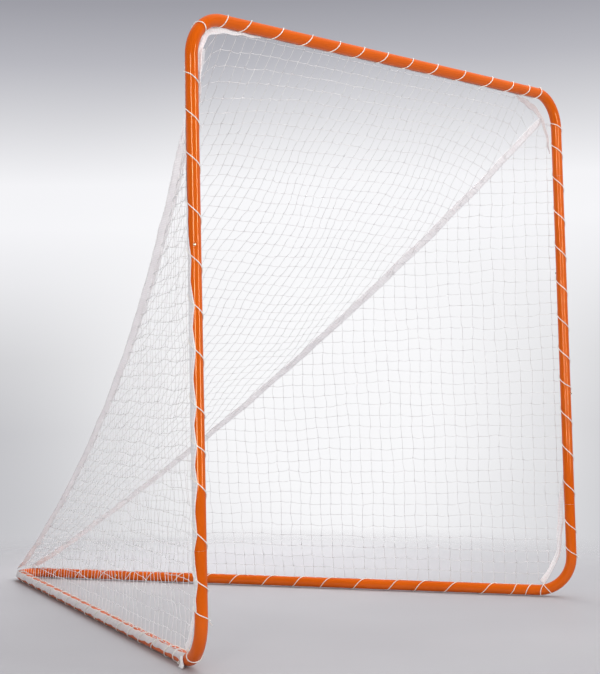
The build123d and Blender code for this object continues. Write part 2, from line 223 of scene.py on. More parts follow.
def tape_mat(name="white_tape", low=(0.80, 0.77, 0.785), high=(0.89, 0.865, 0.88)):
    """Woven polyester tape. UV u runs along it and v across it, in metres."""
    m, nt, s = new_mat(name)
    tc = node(nt, "ShaderNodeTexCoord")
    sep = node(nt, "ShaderNodeSeparateXYZ")
    nt.links.new(tc.outputs["UV"], sep.inputs[0])
    x, y = sep.outputs["X"], sep.outputs["Y"]
    warp = math_node(nt, "SINE", math_node(nt, "MULTIPLY", math_node(nt, "ADD", x, y), 2 * math.pi / 0.0022))
    weft = math_node(nt, "SINE", math_node(nt, "MULTIPLY", math_node(nt, "SUBTRACT", x, y), 2 * math.pi / 0.0011))
    weave = math_node(nt, "ADD", math_node(nt, "MULTIPLY", warp, 0.6), math_node(nt, "MULTIPLY", weft, 0.4))
    # two rows of lock stitching, 4 mm apart in pitch, 5 mm in from each edge
    rows = None
    for at in (0.005, 0.033):
        d = math_node(nt, "ABSOLUTE", math_node(nt, "SUBTRACT", y, at))
        band = maprange(nt, d, 0.0005, 0.0010, 1.0, 0.0)
        rows = band.outputs["Result"] if rows is None else math_node(nt, "MAXIMUM", rows, band.outputs["Result"])
    dash = math_node(nt, "SINE", math_node(nt, "MULTIPLY", x, 2 * math.pi / 0.004))
    dash = maprange(nt, dash, -0.3, 0.1, 0.0, 1.0).outputs["Result"]
    stitch = math_node(nt, "MULTIPLY", rows, dash)
    n = noise(nt, tc.outputs["Object"], 14.0, 4.0)
    col = ramp(nt, n.outputs["Fac"], [(0.3, low), (0.7, high)])
    mix = node(nt, "ShaderNodeMix", data_type="RGBA")
    nt.links.new(math_node(nt, "MULTIPLY", rows, 0.35), mix.inputs["Factor"])
    nt.links.new(col.outputs["Color"], mix.inputs["A"])
    mix.inputs["B"].default_value = (0.55, 0.53, 0.55, 1)
    rib = math_node(nt, "SINE", math_node(nt, "MULTIPLY", x, 2 * math.pi / 0.0105))
    rib = maprange(nt, math_node(nt, "MULTIPLY", rib, noise(nt, tc.outputs["Object"], 24.0, 2.0).outputs["Fac"]), -0.6, 0.6, 0.93, 1.0)
    tone = node(nt, "ShaderNodeMix", data_type="RGBA", blend_type="MULTIPLY")
    tone.inputs["Factor"].default_value = 1.0
    nt.links.new(mix.outputs["Result"], tone.inputs["A"])
    nt.links.new(rib.outputs["Result"], tone.inputs["B"])
    nt.links.new(tone.outputs["Result"], s.inputs["Base Color"])
    s.inputs["Subsurface Weight"].default_value = 0.55
    s.inputs["Subsurface Radius"].default_value = (1.0, 0.97, 0.97)
    s.inputs["Subsurface Scale"].default_value = 0.004
    s.inputs["Roughness"].default_value = 0.72
    s.inputs["Sheen Weight"].default_value = 0.3
    s.inputs["Sheen Roughness"].default_value = 0.45
    s.inputs["Specular IOR Level"].default_value = 0.3
    crease = noise(nt, tc.outputs["Object"], 60.0, 3.0)
    h = math_node(nt, "ADD", math_node(nt, "MULTIPLY", weave, 0.18), math_node(nt, "MULTIPLY", stitch, 0.9))
    h = math_node(nt, "ADD", h, math_node(nt, "MULTIPLY", crease.outputs["Fac"], 1.6))
    bump(nt, s, h, 0.5, 0.0007)
    return m


ORANGE = powder_coat()
GALV = bare_metal("galvanised_sleeve", (0.62, 0.63, 0.64), 0.38, 90.0)
NICKEL = bare_metal("nickel_button", (0.80, 0.78, 0.74), 0.16, 240.0)
SPRING = bare_metal("spring_steel", (0.36, 0.36, 0.39), 0.30, 200.0)
LACE_MAT = cord_mat("lacing_cord", (0.90, 0.86, 0.81), 0.0042, True)
TWINE_MAT = cord_mat("net_twine", (0.89, 0.875, 0.89), 0.0030, False, 0.68)
TAPE_MAT = tape_mat()
# the white tape painted darker and pinker: painted shade, and a painted pink glow of the orange tube through the tape
PAINTED_SHADE_TAPE = tape_mat("painted_shade_tape", (0.56, 0.505, 0.51), (0.68, 0.62, 0.62))


def paint(name, mat):
    ob = NODES[name]
    if not ob.material_slots:
        ob.data.materials.append(mat)
    for s in ob.material_slots:
        s.material = mat


for name in NODES:
    if name.endswith(("post_tube", "ground_tube")) or name in ("crossbar_tube", "nose_tube"):
        paint(name, ORANGE)
    elif name.endswith("joint_sleeve"):
        paint(name, GALV)
    elif name.endswith("snap_button"):
        paint(name, NICKEL)
    elif name.endswith("leaf_spring"):
        paint(name, SPRING)
    elif name.endswith("_tape"):
        paint(name, TAPE_MAT)
    elif name.endswith("net_panel"):
        paint(name, TWINE_MAT)
    else:
        paint(name, LACE_MAT)


# -------------------------------------------------------------- mesh helpers
class Builder:
    """Collects vertices, faces and one UV per face corner."""

    def __init__(self):
        self.v, self.f, self.uv, self.n = [], [], [], 0

    def add(self, verts, quads, uvs, polys=(), poly_uvs=()):
        verts = np.asarray(verts, float).reshape(-1, 3)
        q = np.asarray(quads, int).reshape(-1, 4) + self.n
        self.v.append(verts)
        self.f.extend(map(tuple, q.tolist()))
        self.uv.append(np.asarray(uvs, float).reshape(-1, 2))
        for p, w in zip(polys, poly_uvs):
            self.f.append(tuple(int(i) + self.n for i in p))
            self.uv.append(np.asarray(w, float).reshape(-1, 2))
        self.n += len(verts)

    def make(self, name, mat, replaces=()):
        me = bpy.data.meshes.new(name)
        me.from_pydata(np.concatenate(self.v).tolist(), [], self.f)
        uv = me.uv_layers.new(name="UVMap")
        uv.data.foreach_set("uv", np.concatenate(self.uv).astype(np.float32).ravel())
        me.polygons.foreach_set("use_smooth", np.ones(len(me.polygons), bool))
        me.update()
        me.materials.append(mat)
        ob = bpy.data.objects.new(name, me)
        bpy.context.scene.collection.objects.link(ob)
        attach(ob, "goal")
        if replaces:
            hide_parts(*replaces)
        return ob


def transport(P, closed=False):
    """Tangents and a frame that doesn't twist, along the points P."""
    if closed:
        T = unit(np.roll(P, -1, 0) - np.roll(P, 1, 0))
    else:
        T = unit(np.gradient(P, axis=0))
    N = np.zeros_like(P)
    ref = V(0, 0, 1) if abs(T[0][2]) < 0.8 else V(1, 0, 0)
    N[0] = unit(np.cross(T[0], ref))
    for i in range(1, len(P)):
        n = N[i - 1] - T[i] * np.dot(N[i - 1], T[i])
        N[i] = unit(n)
    return T, N, np.cross(T, N)


def tube(b, P, r, sides=8, closed=False):
    P = np.asarray(P, float)
    k = len(P)
    r = np.broadcast_to(np.asarray(r, float), (k,))
    T, N, B = transport(P, closed)
    a = 2 * np.pi * np.arange(sides) / sides
    ring = P[:, None] + r[:, None, None] * (np.cos(a)[None, :, None] * N[:, None] + np.sin(a)[None, :, None] * B[:, None])
    s = np.concatenate([[0], np.cumsum(np.linalg.norm(np.diff(P, axis=0), axis=1))])
    quads, uvs = [], []
    last = k if closed else k - 1
    for i in range(last):
        i2 = (i + 1) % k
        s2 = s[i + 1] if i + 1 < k else s[i] + np.linalg.norm(P[0] - P[-1])
        for j in range(sides):
            j2 = (j + 1) % sides
            quads.append((i * sides + j, i * sides + j2, i2 * sides + j2, i2 * sides + j))
            uvs += [(s[i], j / sides), (s[i], (j + 1) / sides), (s2, (j + 1) / sides), (s2, j / sides)]
    polys, pu = [], []
    if not closed:
        polys = [list(range(sides))[::-1], [(k - 1) * sides + j for j in range(sides)]]
        pu = [[(0, 0)] * sides, [(s[-1], 0)] * sides]
    b.add(ring, quads, uvs, polys, pu)


def curve_points(points, n, closed=False):
    """Catmull-Rom through the points, n samples evenly spaced along it."""
    P = np.asarray(points, float)
    if closed:
        P = np.concatenate([P[-1:], P, P[:2]])
    else:
        P = np.concatenate([2 * P[:1] - P[1:2], P, 2 * P[-1:] - P[-2:-1]])
    out = []
    for i in range(1, len(P) - 2):
        t = np.linspace(0, 1, 24, endpoint=False)[:, None]
        p0, p1, p2, p3 = P[i - 1], P[i], P[i + 1], P[i + 2]
        out.append(0.5 * (2 * p1 + (p2 - p0) * t + (2 * p0 - 5 * p1 + 4 * p2 - p3) * t ** 2
                          + (3 * p1 - p0 - 3 * p2 + p3) * t ** 3))
    out.append(P[-2:-1])
    out = np.concatenate(out)
    s = np.concatenate([[0], np.cumsum(np.linalg.norm(np.diff(out[:, :3], axis=0), axis=1))])
    at = np.linspace(0, s[-1], n + 1 if closed else n)
    res = np.stack([np.interp(at, s, out[:, k]) for k in range(out.shape[1])], 1)
    return res[:-1] if closed else res


def solid_grid(b, G, thick, v0=0.0):
    """A closed thin sheet from a grid G[i, j] of points, i along and j across."""
    G = np.asarray(G, float)
    ni, nj = G.shape[:2]
    du, dv = np.gradient(G, axis=0), np.gradient(G, axis=1)
    N = unit(np.cross(du, dv))
    top, bot = G + N * thick / 2, G - N * thick / 2
    verts = np.concatenate([top.reshape(-1, 3), bot.reshape(-1, 3)])
    along = np.concatenate([[0], np.cumsum(np.linalg.norm(np.diff(G[:, nj // 2], axis=0), axis=1))])
    across = np.zeros((ni, nj))
    across[:, 1:] = np.cumsum(np.linalg.norm(np.diff(G, axis=1), axis=2), axis=1)
    across += v0
    idx = np.arange(ni * nj).reshape(ni, nj)
    m = ni * nj
    quads, uvs = [], []

    def uv(i, j):
        return (along[i], across[i, j])

    for i in range(ni - 1):
        for j in range(nj - 1):
            c = [(i, j), (i + 1, j), (i + 1, j + 1), (i, j + 1)]
            quads.append([idx[p] for p in c])
            uvs += [uv(*p) for p in c]
            quads.append([idx[p] + m for p in c[::-1]])
            uvs += [uv(*p) for p in c[::-1]]
    rim = [(i, 0) for i in range(ni)] + [(ni - 1, j) for j in range(1, nj)] \
        + [(i, nj - 1) for i in range(ni - 2, -1, -1)] + [(0, j) for j in range(nj - 2, 0, -1)]
    for p, q in zip(rim, rim[1:] + rim[:1]):
        quads.append([idx[q], idx[p], idx[p] + m, idx[q] + m])
        uvs += [uv(*q), uv(*p), uv(*p), uv(*q)]
    b.add(verts, quads, uvs)


# --------------------------------------------------------------- seam curves
SEAM_TOP = V(0.871, MOUTH_Y + 0.021, 1.774)
SEAM_END = V(0.041, MOUTH_Y + 2.080, 0.050)
SEAM_SAG = V(-0.038, -0.095, -0.060)


def seam_point(t, side=1):
    t = np.asarray(t, float)[..., None]
    p = SEAM_TOP + (SEAM_END - SEAM_TOP) * t + SEAM_SAG * (4 * t * (1 - t))
    return p * V(side, 1, 1)


_T = np.linspace(0, 1, 2001)
_S = seam_point(_T)


def seam_at_z(z):
    return np.stack([np.interp(z, _S[::-1, 2], _S[::-1, k]) for k in range(3)], -1)


def seam_at_y(y):
    return np.stack([np.interp(y, _S[:, 1], _S[:, k]) for k in range(3)], -1)


# ----------------------------------------------------------------- the netting
ICO = []
_p = (1 + 5 ** 0.5) / 2
for _a, _b in ((1, _p), (1, -_p), (-1, _p), (-1, -_p)):
    ICO += [(0, _a, _b), (_a, _b, 0), (_b, 0, _a)]
ICO = unit(np.array(ICO))
_faces = []
for _i in range(12):
    for _j in range(_i + 1, 12):
        for _k in range(_j + 1, 12):
            d = [np.linalg.norm(ICO[x] - ICO[y]) for x, y in ((_i, _j), (_j, _k), (_i, _k))]
            if max(d) < 1.06:
                n_ = np.cross(ICO[_j] - ICO[_i], ICO[_k] - ICO[_i])
                _faces.append((_i, _j, _k) if np.dot(n_, ICO[_i]) > 0 else (_i, _k, _j))
ICO_F = np.array(_faces)


def net_mesh(name, edges, knots, replaces, sides=6):
    """edges is (A, B, bow) arrays, knots (centres, long axis). Each strand is a
    short bowed tube from knot to knot, and each knot a small turned ball."""
    A, B, W = (np.array(x, float) for x in edges)
    n, k = len(A), 4
    t = np.linspace(0, 1, k)[None, :, None]
    P = A[:, None] + (B - A)[:, None] * t + W[:, None] * (4 * t * (1 - t))
    T = unit(np.gradient(P, axis=1))
    ref = np.broadcast_to(V(0.62, 0.37, 0.11), T.shape)
    N = unit(np.cross(T, ref))
    Bn = np.cross(T, N)
    a = 2 * np.pi * np.arange(sides) / sides
    ring = P[:, :, None] + TWINE_R * (np.cos(a)[None, None, :, None] * N[:, :, None] + np.sin(a)[None, None, :, None] * Bn[:, :, None])
    verts = ring.reshape(-1, 3)
    L = np.linalg.norm(B - A, axis=1)
    base = np.arange(n)[:, None] * (k * sides)
    quads, uvs = [], []
    for i in range(k - 1):
        for j in range(sides):
            j2 = (j + 1) % sides
            q = np.array([i * sides + j, i * sides + j2, (i + 1) * sides + j2, (i + 1) * sides + j])
            quads.append(base + q[None])
            u0, u1 = L * i / (k - 1), L * (i + 1) / (k - 1)
            v0, v1 = np.full(n, j / sides), np.full(n, (j + 1) / sides)
            uvs.append(np.stack([np.stack([u0, v0], 1), np.stack([u0, v1], 1), np.stack([u1, v1], 1), np.stack([u1, v0], 1)], 1))
    quads = np.concatenate(quads)
    uvs = np.concatenate(uvs).reshape(-1, 2)
    b = Builder()
    b.v.append(verts)
    b.f.extend(map(tuple, quads.tolist()))
    b.uv.append(uvs)
    caps = []
    for j0, order in ((0, range(sides - 1, -1, -1)), ((k - 1) * sides, range(sides))):
        caps.append(base + np.array([j0 + j for j in order])[None])
    caps = np.concatenate(caps)
    b.f.extend(map(tuple, caps.tolist()))
    b.uv.append(np.zeros((len(caps) * sides, 2)))
    m = n * k * sides
    C, D = np.array(knots[0], float), unit(np.array(knots[1], float))
    nk = len(C)
    q = unit(np.cross(D, V(0.3, 0.2, 0.93)))
    w = np.cross(D, q)
    size = 0.00200 * (0.9 + 0.25 * rng.random((nk, 1, 1)))
    pts = C[:, None] + size * (1.45 * ICO[None, :, :1] * D[:, None] + 1.12 * ICO[None, :, 1:2] * q[:, None] + 0.95 * ICO[None, :, 2:] * w[:, None])
    b.v.append(pts.reshape(-1, 3))
    f = (m + np.arange(nk)[:, None, None] * 12 + ICO_F[None]).reshape(-1, 3)
    b.f.extend(map(tuple, f.tolist()))
    uvk = np.tile((ICO[ICO_F][:, :, :2] * V(0.003, 0.5) + V(0.003, 0.5))[None], (nk, 1, 1, 1)).reshape(-1, 2)
    b.uv.append(uvk)
    return b.make(name, TWINE_MAT, replaces)


SIDE_Z = [AXIS_Z + 0.0197, 0.130, 0.300, 0.520, 1.340, 1.580, 1.740]
SIDE_GAP = [0.142, 0.064, 0.024, 0.0192, 0.0192, 0.021, 0.024]
PANEL_OFF = 0.0079


def side_row(z):
    """Front point and seam point of the side panel's level row at height z."""
    gap = np.interp(z, SIDE_Z, SIDE_GAP)
    p = V(HALF_W - GX * gap + GY * PANEL_OFF, MOUTH_Y + GY * gap + GX * PANEL_OFF, z)
    q = seam_at_z(max(z, 0.052))
    q = V(q[0], q[1], z)
    return gap, p, q


def waves(p, amp, seed):
    """A slow unevenness of the net, as an offset per point."""
    r = np.random.default_rng(seed)
    out = np.zeros(3)
    for _ in range(5):
        k = r.normal(size=3) * 7.5
        out += r.normal(size=3) * math.sin(float(k @ p) + r.random() * 6.28)
    return out * amp / 2.2


def side_net(side, name, replaces, seed):
    A, B, W, C, D = [], [], [], [], []
    zs = [SIDE_Z[0] + MESH * i for i in range(int((1.765 - SIDE_Z[0]) / MESH) + 1)]
    normal = V(side * GY, GX, 0)
    mir = V(side, 1, 1)
    grid = {}
    rows = []
    for i, z in enumerate(zs):
        gap, p, q = side_row(z)
        L = np.linalg.norm(q - p)
        rows.append((gap, L, p, q))
        j0 = int(math.ceil((gap + 0.008) / MESH))
        j = j0
        while j * MESH < gap + L - 0.012:
            d = j * MESH - gap
            pt = p + (q - p) * d / L
            edge = min(d, L - d, (z - zs[0]) + 0.02)
            f = float(smooth(edge / 0.16))
            pt = pt * mir + waves(pt, 0.0065, seed) * f + waves(pt * 2.7, 0.0024, seed + 1) * f
            pt = pt + rng.normal(size=3) * V(0.0016, 0.0016, 0.0016) * min(1.0, f + 0.3)
            grid[i, j] = pt
            j += 1

    def at(z, d):
        gap, p, q = side_row(z)
        L = np.linalg.norm(q - p)
        return (p + (q - p) * (d - gap) / L) * mir

    def strand(a, b, level):
        bow = rng.normal(size=3) * 0.0011
        if level:
            bow[2] -= 0.0016
        bow += normal * rng.normal() * 0.0008
        A.append(a); B.append(b); W.append(bow)

    for (i, j), p in grid.items():
        C.append(p)
        D.append(rng.normal(size=3) * 0.5 + V(-side * GX, GY, 0))
        gap, L, p0, q0 = rows[i]
        strand(grid[i, j - 1] if (i, j - 1) in grid else p0 * mir, p, True)
        if (i, j + 1) not in grid:
            strand(p, q0 * mir, True)
        if (i + 1, j) in grid:
            strand(p, grid[i + 1, j], False)
        else:
            # up to the seam, or to the top of the panel
            zz = np.linspace(zs[i], min(zs[i] + 2 * MESH, 1.768), 60)
            end = None
            for z in zz:
                g, pp, qq = side_row(z)
                if j * MESH > g + np.linalg.norm(qq - pp):
                    end = at(z, j * MESH)
                    break
            strand(p, end if end is not None else at(zz[-1], j * MESH), False)
        if (i - 1, j) not in grid and i > 0:
            zz = np.linspace(zs[i], zs[i - 1], 40)
            end = None
            for z in zz:
                g, pp, qq = side_row(z)
                if j * MESH < g:
                    end = at(z, j * MESH)
                    break
            if end is not None:
                strand(end, p, False)
    # rows too short to hold a knot still run from post to seam
    for i, (gap, L, p0, q0) in enumerate(rows):
        if not any(k[0] == i for k in grid) and L > 0.01:
            strand(p0 * mir, q0 * mir, True)
    return net_mesh(name, (A, B, W), (C, D), replaces)


BACK_START = MOUTH_Y + 0.023
BACK_ONE = MOUTH_Y + 0.160
BACK_END = MOUTH_Y + 2.076


def back_point(x, y):
    """The back panel's surface over plan point x, y, and the half width there."""
    def row(yy, lift):
        e = seam_at_y(yy)
        half = e[0] - 0.004
        s = (yy - MOUTH_Y) / V_DEPTH
        droop = 0.025 * 4 * s * (1 - s) * min(1.0, half / 0.5) + 0.001
        return half, e[2], droop, lift
    if y >= BACK_ONE:
        lift = float(np.interp(y - MOUTH_Y, [0.160, 0.420, 0.760], [0.080, 0.018, 0.0]))
        half, z, droop, lift = row(y, lift)
        u = min(1.0, abs(x) / half)
        return z + lift * (1 - u ** 4) - droop * (1 - u * u), half
    t = (y - BACK_START) / (BACK_ONE - BACK_START)
    half1, z1, droop, lift = row(BACK_ONE, 0.080)
    half0 = SEAM_TOP[0] - 0.004
    half = half0 + (half1 - half0) * t
    u = min(1.0, abs(x) / half)
    e = min(1.0, (1 - u) / 0.08)
    za = (TOP_Z - 0.002 - 0.003 * (1 - u * u)) * e + (SEAM_TOP[2] + 0.004) * (1 - e)
    zb = z1 + lift * (1 - u ** 4) - droop * (1 - u * u)
    return za + (zb - za) * t, half


def back_net(name, replaces, seed):
    A, B, W, C, D = [], [], [], [], []
    # rows an even distance apart down the middle of the panel
    ys = np.linspace(BACK_START, BACK_END, 1500)
    zc = np.array([back_point(0.25 * (1 - (y - BACK_START) / 2.06), y)[0] for y in ys])
    s = np.concatenate([[0], np.cumsum(np.hypot(np.diff(ys), np.diff(zc)))])
    rows = np.interp(np.arange(0.02, s[-1] - 0.01, MESH), s, ys)
    halves = [back_point(0, y)[1] for y in rows]
    xs = {j: j * MESH for j in range(-24, 25)}
    grid = {}
    for i, y in enumerate(rows):
        for j, x in xs.items():
            if abs(x) < halves[i] - 0.012:
                z = back_point(x, y)[0]
                edge = min(halves[i] - abs(x), y - BACK_START)
                f = float(smooth(edge / 0.16))
                p = V(x, y, z)
                p = p + waves(p, 0.0062, seed) * f + waves(p * 2.4, 0.0026, seed + 1) * f
                p = p + rng.normal(size=3) * 0.0015 * min(1.0, f + 0.3)
                grid[i, j] = p

    def on(x, y):
        return V(x, y, back_point(x, y)[0])

    def strand(a, b, level):
        bow = rng.normal(size=3) * 0.0011
        bow += V(0, -0.4, -0.9) * (0.0016 if level else 0.0006)
        A.append(a); B.append(b); W.append(bow)

    for (i, j), p in grid.items():
        C.append(p)
        D.append(rng.normal(size=3) * 0.5 + V(1, 0, 0))
        y = rows[i]
        if (i, j - 1) in grid:
            strand(grid[i, j - 1], p, True)
        else:
            strand(on(-halves[i], y), p, True)
        if (i, j + 1) not in grid:
            strand(p, on(halves[i], y), True)
        if (i + 1, j) in grid:
            strand(p, grid[i + 1, j], False)
        else:
            end = on(xs[j], min(y + 0.035, BACK_END))
            for yy in np.linspace(y, min(y + 0.09, BACK_END), 50):
                if back_point(0, yy)[1] < abs(xs[j]):
                    end = on(math.copysign(back_point(0, yy)[1], xs[j]), yy)
                    break
            strand(p, end, False)
        if i == 0:
            strand(on(xs[j], BACK_START), p, False)
    return net_mesh(name, (A, B, W), (C, D), replaces)


left_net = side_net(-1, "left_netting", ["left_net_panel"], 21)
right_net = side_net(1, "right_netting", ["right_net_panel"], 34)
rear_net = back_net("back_netting", ["back_net_panel"], 55)

# ------------------------------------------------------------- lacing helices
POST_L = [1.688, 1.573, 1.449, 1.302, 1.161, 1.028, 0.901, 0.743, 0.633, 0.528, 0.385, 0.253, 0.165]
POST_R = [1.757, 1.667, 1.541, 1.414, 1.280, 1.147, 1.015, 0.894, 0.783, 0.664, 0.537, 0.405, 0.261, 0.165]
BAR_X = [-0.812, -0.722, -0.583, -0.452, -0.320, -0.204, -0.086, 0.046, 0.180, 0.336, 0.496, 0.627, 0.733, 0.812]
GROUND = [0.165, 0.213, 0.318, 0.461, 0.584, 0.686, 0.828, 0.966, 1.079, 1.212, 1.355, 1.478, 1.602, 1.733,
          1.826, 1.952, 2.068, 2.180]


def helix(origin, along, up_ref, side_ref, stations, face_deg, tape_deg, low=None):
    """One cord round a tube: a steep strand over the open face at each station,
    and a long slope behind, where it goes through the edge of the net."""
    pts = []
    lo, hi = tape_deg
    n = len(stations)
    fine = abs(along[0]) < 0.99      # the crossbar's cord ends right at its bends
    for i, d in enumerate(stations):
        step = stations[i + 1] - d if i + 1 < n else 0.06
        prev = d - stations[i - 1] if i else 0.06
        rise_in, rise_out = min(0.030, 0.235 * prev), min(0.030, 0.235 * step)
        if not fine and i == 0:
            rise_in = 0.012
        if not fine and i + 1 == n:
            rise_out = 0.012
        if abs(origin[2] - d - 0.783) < 1e-6:
            rise_out = 0.016      # kept clear of the snap button
        first, last = (150 if fine else 96), (112 if fine else 96)
        knots = [(-90 if i else -first, -rise_in * (1 if i else first / 90)), (0, 0), (90 if i + 1 < n else last, rise_out * (1 if i + 1 < n else last / 90))]
        if i + 1 < n:
            nxt = min(0.030, 0.235 * step)
            knots.append((270, step - nxt))
        ang = np.array([k[0] for k in knots], float)
        dist = np.array([k[1] for k in knots], float)
        a = np.arange(ang[0], ang[-1], 15.0)
        if i + 1 == n:
            a = np.append(a, ang[-1])
        wob = rng.normal() * 0.0006
        for x in a:
            t = np.interp(x, ang, dist)
            full = (face_deg + x) % 360.0
            gap = min((full - lo) % 360, (hi - full) % 360)
            inside = (full - lo) % 360 <= (hi - lo)
            over = 1.0 if inside else 0.0
            if not inside:
                out = min((lo - full) % 360, (full - hi) % 360)
                over = max(0.0, 1 - out / 25.0)
            back = 0.5 * (1 - math.cos(math.radians(max(0.0, x - 90) * 2))) if x > 90 else 0.0
            r = TUBE_R + CORD_R + 0.00015 + 0.00115 * over + 0.0004 * back * over
            c, s = math.cos(math.radians(full)), math.sin(math.radians(full))
            p = origin + along * (d + t + wob * math.sin(math.radians(x))) + side_ref * (r * c) + up_ref * (r * s)
            pts.append(p)
    pts = np.array(pts)
    return pts


LACES = {
    "left_post_lacing": helix(V(-HALF_W, MOUTH_Y, TOP_Z), V(0, 0, -1), V(0, 1, 0), V(1, 0, 0),
                              [TOP_Z - z for z in POST_L], 221.0, (90.0, 215.0)),
    "right_post_lacing": helix(V(HALF_W, MOUTH_Y, TOP_Z), V(0, 0, -1), V(0, 1, 0), V(1, 0, 0),
                               [TOP_Z - z for z in POST_R], 219.0, (-20.0, 90.0)),
    "crossbar_lacing": helix(V(0, MOUTH_Y, TOP_Z), V(1, 0, 0), V(0, 0, 1), V(0, -1, 0),
                             BAR_X, -19.0, (170.0, 260.0)),
    "left_ground_lacing": helix(bar_point(-1, 0), bar_dir(-1), V(0, 0, -1), V(-GY, GX, 0),
                                GROUND, 180.0, (-65.0, 35.0)),
    "right_ground_lacing": helix(bar_point(1, 0), bar_dir(1), V(0, 0, 1), V(GY, GX, 0),
                                 GROUND, 180.0, (-35.0, 65.0)),
}
for name, P in LACES.items():
    b = Builder()
    tube(b, P, CORD_R, 8)
    b.make(name + "_cord", LACE_MAT, [name])


def overhand(b, at, axis, size=0.0034, tail=0.020, seed=0):
    """A pulled-tight overhand knot with a short tail, its bight round axis."""
    r = np.random.default_rng(seed)
    axis = unit(axis)
    u = unit(np.cross(axis, V(0.21, 0.33, 0.92)))
    w = np.cross(axis, u)
    t = np.linspace(0.35, 2 * np.pi - 0.35, 40)
    R = size * (1.0 + 0.5 * np.cos(3 * t))
    P = at + (R * np.cos(2 * t))[:, None] * u + (R * np.sin(2 * t))[:, None] * w + (size * 0.55 * np.sin(3 * t))[:, None] * axis
    hang = unit(V(r.normal() * 0.3, r.normal() * 0.3, -1.0) + axis * 0.4)
    end = P[-1]
    if at[2] < 0.08:
        hang = unit(V(hang[0], hang[1], -0.15))
    extra = np.array([end + hang * tail * k + V(0, 0, -0.15 * tail * k * k) for k in (0.25, 0.5, 0.75, 1.0)])
    extra[:, 2] = np.maximum(extra[:, 2], 0.0017)
    P = curve_points(np.concatenate([P[::4], extra]), 60)
    tube(b, P, CORD_R * 0.93, 7)


for name, ends in {
    "post_lacing_knots": [LACES["left_post_lacing"][0], LACES["left_post_lacing"][-1],
                          LACES["right_post_lacing"][0], LACES["right_post_lacing"][-1]],
    "crossbar_lacing_knots": [LACES["crossbar_lacing"][0], LACES["crossbar_lacing"][-1]],
    "ground_lacing_knots": [LACES["left_ground_lacing"][0], LACES["left_ground_lacing"][-1],
                            LACES["right_ground_lacing"][0], LACES["right_ground_lacing"][-1]],
}.items():
    b = Builder()
    for i, p in enumerate(ends):
        overhand(b, np.array(p), V(0.3, 0.5, 0.4 + i), seed=90 + i + len(name))
    b.make(name + "_tied", LACE_MAT, [name])


# ---------------------------------------------------------------- corner ties
def bend_frame(side, kind, deg):
    a = math.radians(deg)
    if kind == "top":
        cx, cz = HALF_W - TOP_BEND_R, TOP_Z - TOP_BEND_R
        p = V(side * (cx + TOP_BEND_R * math.cos(a)), MOUTH_Y, cz + TOP_BEND_R * math.sin(a))
        d = V(-side * math.sin(a), 0, math.cos(a))
        return p, d
    dist = LOW_BEND_R - LOW_BEND_R * math.cos(a)
    p = bar_point(side, dist, 0, AXIS_Z + LOW_BEND_R - LOW_BEND_R * math.sin(a))
    d = bar_dir(side) * math.sin(a) + V(0, 0, -math.cos(a))
    return p, d


def tie(b, centre, axis, slant, seed):
    """A slanting turn of cord round a bend, and the knot behind."""
    axis = unit(axis)
    u = unit(V(0, 1, 0) - axis * axis[1])
    w = np.cross(axis, u)
    t = np.linspace(0, 2 * np.pi, 49)[:-1]
    for k, sl in enumerate((slant,)):
        r = TUBE_R + CORD_R + 0.0002
        P = centre + (r * np.cos(t))[:, None] * u + (r * np.sin(t))[:, None] * w \
            + (sl * np.cos(t + 0.6))[:, None] * axis
        tube(b, P, CORD_R, 8, closed=True)
    overhand(b, centre + u * (TUBE_R + 0.0045), axis, 0.0032, 0.018, seed)


b = Builder()
for k, (side, deg, sl) in enumerate(((-1, 43, -0.010),)):
    p, d = bend_frame(side, "top", deg)
    tie(b, p, d, sl, 200 + k)
b.make("top_corner_tie_tied", LACE_MAT, ["top_corner_tie"])
b = Builder()
for k, (side, deg, sl) in enumerate(((-1, 58, 0.010), (1, 73, 0.011), (1, 80, -0.011))):
    p, d = bend_frame(side, "low", deg)
    tie(b, p, d, sl, 220 + k)
b.make("bottom_corner_ties_tied", LACE_MAT, ["bottom_corner_ties"])


def ragged(s, seed, amp, waves_per_m=(6, 11, 19)):
    r = np.random.default_rng(seed)
    out = np.zeros_like(s)
    for k in waves_per_m:
        out += np.sin(2 * np.pi * k * s + r.random() * 6.28) * r.uniform(0.6, 1.0) * 6.0 / k
    return out * amp / 2.2


# seam tapes lie along the two seams, in the slope of the back panel
for side, name in ((-1, "left"), (1, "right")):
    t = np.linspace(0.0, 1.0, 240)
    line = seam_point(t, side)
    tail = np.array([[side * 0.036, MOUTH_Y + 2.098, 0.0475], [side * 0.030, MOUTH_Y + 2.113, 0.0435]])
    line = np.concatenate([line, tail])
    line = curve_points(line[::6].tolist() + [tail[-1].tolist()], 260)
    along = unit(np.gradient(line, axis=0))
    s = np.concatenate([[0], np.cumsum(np.linalg.norm(np.diff(line, axis=0), axis=1))])
    out = unit(V(0.15 * side, 0.63, 0.76) - along * (along @ V(0.15 * side, 0.63, 0.76))[:, None])
    width = np.cross(along, out)
    half = 0.0185 + 0.0045 * np.exp(-((s - 0.70) / 0.45) ** 2) + ragged(s, 3 + side, 0.0012)
    half = half * (1 - 0.35 * smooth((s - s[-1] + 0.06) / 0.06)) * (0.75 + 0.25 * smooth(s / 0.05))
    cols = np.linspace(-1, 1, 9)
    G = line[:, None] + (half[:, None, None] * cols[None, :, None]) * width[:, None] \
        + out[:, None] * 0.0052
    ripple = ragged(s, 7 + side, 0.0016, (4, 9, 17))[:, None] * (0.35 + 0.65 * np.abs(cols))[None] \
        + 0.0007 * np.sin(s[:, None] * 310 + 4 * cols[None]) * np.abs(cols)[None]
    G = G + out[:, None] * ripple[:, :, None]
    G = G + width[:, None] * ragged(s, 17 + side, 0.0016, (3, 7, 12))[:, None, None]
    b = Builder()
    solid_grid(b, G, 0.0011)
    ob = b.make(name + "_seam_band", TAPE_MAT, [name + "_seam_tape"])


